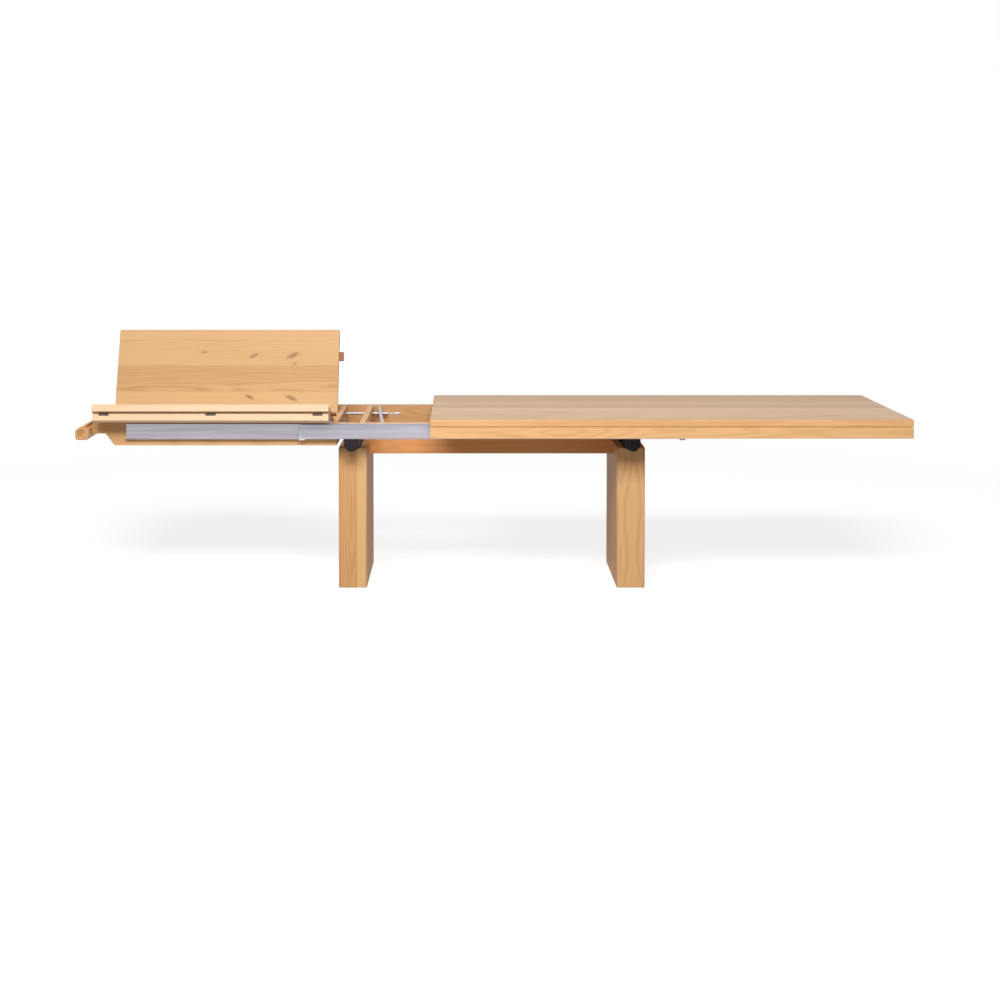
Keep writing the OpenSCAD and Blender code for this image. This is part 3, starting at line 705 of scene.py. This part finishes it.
class TABLE_OT_carrier(bpy.types.Operator):
    """Sliding carrier: side rails, channels, cross pieces, rack and the leaf's spring"""

    bl_idname = "table.carrier"
    bl_label = "Carrier"

    batten: bpy.props.FloatProperty(
        name="Batten depth", description="Depth of the batten under the back runner",
        default=0.021, unit="LENGTH",
    )
    spring: bpy.props.FloatVectorProperty(
        name="Spring", description="Free end of the spring beside the leaf",
        subtype="TRANSLATION", unit="LENGTH", default=(-0.412, 0.200, 0.695),
    )

    def make_batten(self):
        """A batten glued under the shallow part of the back side rail."""
        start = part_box("end_rail_right")[1].x
        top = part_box("cross_member")[0].z
        low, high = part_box("side_rail_back")
        end_in = 0.002
        span = ((start, low.y, top - self.batten), (high.x - end_in, high.y, top))
        # The batten takes the back rail's darker wood, painted shade.
        finish_piece(bars("rail_batten", [span]), "carrier", "Back rail wood")

    def make_spring(self):
        """The spring that holds the leaf, through the cross-member, on a wooden block."""
        end, y, z = self.spring
        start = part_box("end_rail_right")[1].x
        cross_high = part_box("cross_member")[1]
        barrel_r, shaft_r, eye_r, chamfer = 0.0055, 0.0028, 0.0065, 0.001
        barrel_end, eye_start = end - 0.050, end - 0.023
        steps = (
            (start, barrel_r - chamfer), (start + chamfer, barrel_r),
            (barrel_end - chamfer, barrel_r), (barrel_end, barrel_r - chamfer),
            (barrel_end + 2 * chamfer, shaft_r), (eye_start, shaft_r),
            (eye_start + chamfer, eye_r - chamfer / 2), (end - chamfer, eye_r),
            (end, eye_r - chamfer),
        )
        finish_piece(rod("leaf_spring", y, z, steps), "carrier", "Zinc")
        block_l, block_half_w, block_drop, gap = 0.070, 0.012, 0.021, 0.0001
        low = (cross_high.x, y - block_half_w, z - block_drop)
        high = (cross_high.x + block_l, y + block_half_w, z - barrel_r - gap)
        finish_piece(bars("spring_block", [(low, high)]), "carrier", "Tongue wood")

    def execute(self, context):
        self.make_batten()
        self.make_spring()
        ease(["side_rail_front"], "Rail wood")
        # The back side rail takes the darker rail wood, painted shade.
        ease(["side_rail_back"], "Back rail wood")
        ease(["end_rail_left", "end_rail_right", "cross_member"], "Cross wood")
        paint(["channel_front", "channel_back", "tie_bar"], "Aluminium")
        paint(["carrier_rack", "leaf_pins"], "Zinc")
        paint(["flap_hinges"], "Bronze lacquer")
        return {"FINISHED"}


class TABLE_OT_leaf(bpy.types.Operator):
    """Folding leaf: two boards, tongues, hinges and folding apron strips"""

    bl_idname = "table.leaf"
    bl_label = "Leaf"

    def execute(self, context):
        # The front board and strip take the paler leaf wood, a painted highlight.
        ease(["leaf_board_front", "strip_front"], "Front leaf wood")
        # The back board and strip take the darker leaf wood, painted shade.
        ease(["leaf_board_back", "strip_back"], "Back leaf wood")
        ease(["leaf_tongue_front", "leaf_tongue_back"], "Tongue wood")
        paint(["pivot_plates"], "Zinc across")
        paint(["strip_hinges_front", "strip_hinges_back", "mid_hinge_front", "mid_hinge_back"],
              "Bronze lacquer")
        return {"FINISHED"}


class TABLE_OT_flap(bpy.types.Operator):
    """Grip flap at the carrier's end"""

    bl_idname = "table.flap"
    bl_label = "End flap"

    def execute(self, context):
        ease(["flap_shell"], "Flap wood", 0.003)
        # The flap core takes the darker wood, painted shade in the recess.
        ease(["flap_core"], "Flap core wood")
        paint(["flap_lugs"], "Bronze lacquer")
        return {"FINISHED"}


class TABLE_OT_screws(bpy.types.Operator):
    """Countersunk screws in the plates of the middle hinge"""

    bl_idname = "table.screws"
    bl_label = "Screws"

    across: bpy.props.FloatProperty(
        name="Distance", description="From the hinge line to the screws",
        default=0.016, unit="LENGTH",
    )
    spacing: bpy.props.FloatProperty(
        name="Spacing", description="Between the screws of one plate",
        default=0.020, unit="LENGTH",
    )
    end_in: bpy.props.FloatProperty(
        name="End", description="From the leaf's end to the middle of the outer plates",
        default=0.120, unit="LENGTH",
    )
    per_plate: bpy.props.IntProperty(
        name="Screws", description="Screws in one plate", default=3, min=1, max=5,
    )

    def execute(self, context):
        low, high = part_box("leaf_board_front")
        first, last = low.x + self.end_in, high.x - self.end_in
        middles = [first, (first + last) / 2, last]
        for body, back in (("leaf_front", False), ("leaf_back", True)):
            flat = [(x - self.spacing, self.across, 0.0) for x in middles]
            turn = LEAF_FOLD - LEAF_TILT if back else -LEAF_TILT
            piece = screw_rows(body + "_hinge_screws", on_leaf(flat, back),
                               (self.spacing, 0, 0), self.per_plate, (turn, 0, 0), "Zinc")
            finish_piece(piece, body, "Zinc")
        return {"FINISHED"}


# ---- Stage ----------------------------------------------------------------------------


class TABLE_OT_stage(bpy.types.Operator):
    """White floor and background, soft lights and the camera"""

    bl_idname = "table.stage"
    bl_label = "Studio"

    def execute(self, context):
        studio = context.scene.table_studio
        self.make_floor(context)
        self.make_world(context, studio.fill)
        self.make_light("Key", (-0.5, -4.8, 4.4), (0.0, 0.0, 0.5), (4.4, 1.8), studio.key)
        self.make_light("Top", (0.0, 0.2, 4.6), (0.0, 0.0, 0.7), (5.5, 3.0), studio.top)
        camera = bpy.data.objects.new("Camera", bpy.data.cameras.new("Camera"))
        camera.location = studio.camera_place
        camera.rotation_euler = (math.pi / 2 - studio.camera_pitch, 0, 0)
        camera.data.lens = studio.lens
        camera.data.shift_x, camera.data.shift_y = studio.shift
        context.scene.collection.objects.link(camera)
        context.scene.camera = camera
        context.scene.view_settings.view_transform = "Standard"
        return {"FINISHED"}

    def make_floor(self, context):
        """A white floor that fades out far off, brighter to the camera for the shadows."""
        size, fade_from, fade_to = 40.0, 3.0, 4.6
        mesh = bpy.data.meshes.new("floor")
        mesh.from_pydata([(-size, -size, 0), (size, -size, 0), (size, size, 0), (-size, size, 0)],
                         [], [(0, 1, 2, 3)])
        floor = bpy.data.objects.new("floor", mesh)
        context.scene.collection.objects.link(floor)
        finish = Finish("Studio floor")
        ray = finish.node("ShaderNodeLightPath")
        seen = ray["Is Camera Ray"].call("MAXIMUM", ray["Is Glossy Ray"])
        seen = seen.call("MAXIMUM", ray["Is Transmission Ray"])
        glow = bpy.context.scene.table_studio.floor_glow
        finish.set(Base_Color=(0.55, 0.55, 0.55), Roughness=0.9, Specular_IOR_Level=0.0,
                   Emission_Color=finish.mix((0, 0, 0), (glow, glow, glow), seen),
                   Emission_Strength=1.0)
        x, y, _ = finish.split(finish.node("ShaderNodeTexCoord")["Object"])
        far = (x ** 2 + y ** 2).call("SQRT").step(fade_from, fade_to)
        lit = Sock(finish, finish.shader.outputs["BSDF"])
        clear = finish.node("ShaderNodeBsdfTransparent")["BSDF"]
        faded = finish.node("ShaderNodeMixShader", None, (far, lit, clear))["Shader"]
        finish.feed(finish.tree.nodes["Material Output"].inputs["Surface"], faded)
        mesh.materials.append(finish.material)

    def make_world(self, context, strength):
        """White to the camera and to reflections, an even grey as light."""
        world = bpy.data.worlds.new("Studio")
        world.use_nodes = True
        tree = world.node_tree
        ray = tree.nodes.new("ShaderNodeLightPath")
        widest = ray.outputs["Is Camera Ray"]
        for name in ("Is Glossy Ray", "Is Transmission Ray"):
            larger = tree.nodes.new("ShaderNodeMath")
            larger.operation = "MAXIMUM"
            tree.links.new(widest, larger.inputs[0])
            tree.links.new(ray.outputs[name], larger.inputs[1])
            widest = larger.outputs[0]
        reach = tree.nodes.new("ShaderNodeMapRange")
        reach.inputs["To Min"].default_value = strength
        reach.inputs["To Max"].default_value = 1.0
        tree.links.new(widest, reach.inputs["Value"])
        background = tree.nodes["Background"]
        background.inputs["Color"].default_value = (1, 1, 1, 1)
        tree.links.new(reach.outputs["Result"], background.inputs["Strength"])
        context.scene.world = world

    def make_light(self, name, place, aim, size, power):
        """A rectangular soft light at a place, aimed at a point."""
        light = bpy.data.lights.new(name, "AREA")
        light.shape = "RECTANGLE"
        light.size, light.size_y = size
        light.energy = power
        lamp = bpy.data.objects.new(name, light)
        lamp.location = place
        lamp.rotation_euler = (Vector(aim) - Vector(place)).to_track_quat("-Z", "Y").to_euler()
        bpy.context.scene.collection.objects.link(lamp)


# ---- Panel and registration -----------------------------------------------------------

STEPS = ("finishes", "pedestal", "top", "carrier", "leaf", "flap", "screws", "stage")


class TABLE_PT_panel(bpy.types.Panel):
    """Lists the table's settings and steps"""

    bl_idname = "TABLE_PT_panel"
    bl_label = "Extendable Dining Table"
    bl_space_type = "VIEW_3D"
    bl_region_type = "UI"
    bl_category = "Table"

    def draw(self, context):
        for group in ("table_timber", "table_metal", "table_studio"):
            box = self.layout.box()
            settings = getattr(context.scene, group)
            for name in settings.bl_rna.properties.keys():
                if name not in ("rna_type", "name"):
                    box.prop(settings, name)
        for step in STEPS:
            self.layout.operator("table." + step)


CLASSES = (
    TableTimber, TableMetal, TableStudio, TABLE_OT_finishes, TABLE_OT_pedestal, TABLE_OT_top,
    TABLE_OT_carrier, TABLE_OT_leaf, TABLE_OT_flap, TABLE_OT_screws, TABLE_OT_stage,
    TABLE_PT_panel,
)


def register():
    for item in CLASSES:
        bpy.utils.register_class(item)
    bpy.types.Scene.table_timber = bpy.props.PointerProperty(type=TableTimber)
    bpy.types.Scene.table_metal = bpy.props.PointerProperty(type=TableMetal)
    bpy.types.Scene.table_studio = bpy.props.PointerProperty(type=TableStudio)


def unregister():
    del bpy.types.Scene.table_studio
    del bpy.types.Scene.table_metal
    del bpy.types.Scene.table_timber
    for item in reversed(CLASSES):
        bpy.utils.unregister_class(item)


def main():
    register()
    for step in STEPS:
        getattr(bpy.ops.table, step)()


if __name__ == "__main__":
    main()
